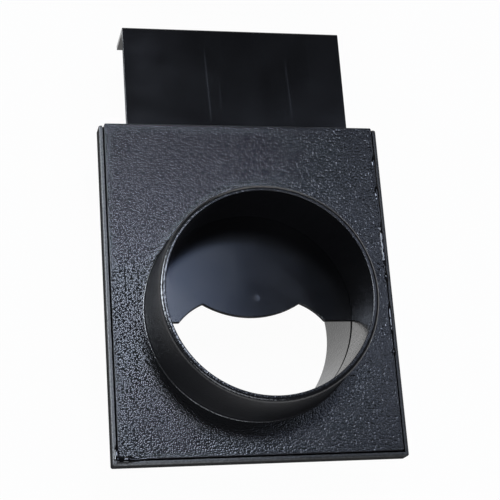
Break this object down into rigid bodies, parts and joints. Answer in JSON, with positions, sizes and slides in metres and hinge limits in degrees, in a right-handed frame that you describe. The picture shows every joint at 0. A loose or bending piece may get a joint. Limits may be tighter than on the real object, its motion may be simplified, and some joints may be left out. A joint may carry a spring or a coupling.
{
  "type": "blast gate",
  "caption": "Black plastic blast gate for a dust duct: a flat cemented housing with a round hose neck on each side, and a sliding gate with a turned-back lip that opens or shuts the bore.",
  "frame": {"origin": "on the duct axis, in the plane of the rear neck's rim, on which the part lies", "axes": "+Z along the duct axis out of the front neck, +Y the way the gate pulls out, +X to the right seen from the front with the lip at the top"},
  "size_m": [0.1372, 0.2151, 0.0803],
  "materials": {
    "housing_plastic": "black moulded ABS, pebble-grained on the plate's face and smooth on the necks",
    "gate_plastic": "black moulded ABS, smooth satin with light scratches along its travel"
  },
  "bodies": {
    "housing": {"rear_half": "housing_plastic", "front_half": "housing_plastic"},
    "gate": {"slide_gate": "gate_plastic"}
  },
  "joints": [
    {"name": "gate_slide", "type": "slide", "parent": "housing", "child": "gate", "axis": [0, 1, 0], "range_m": [-0.049, 0.053]}
  ]
}
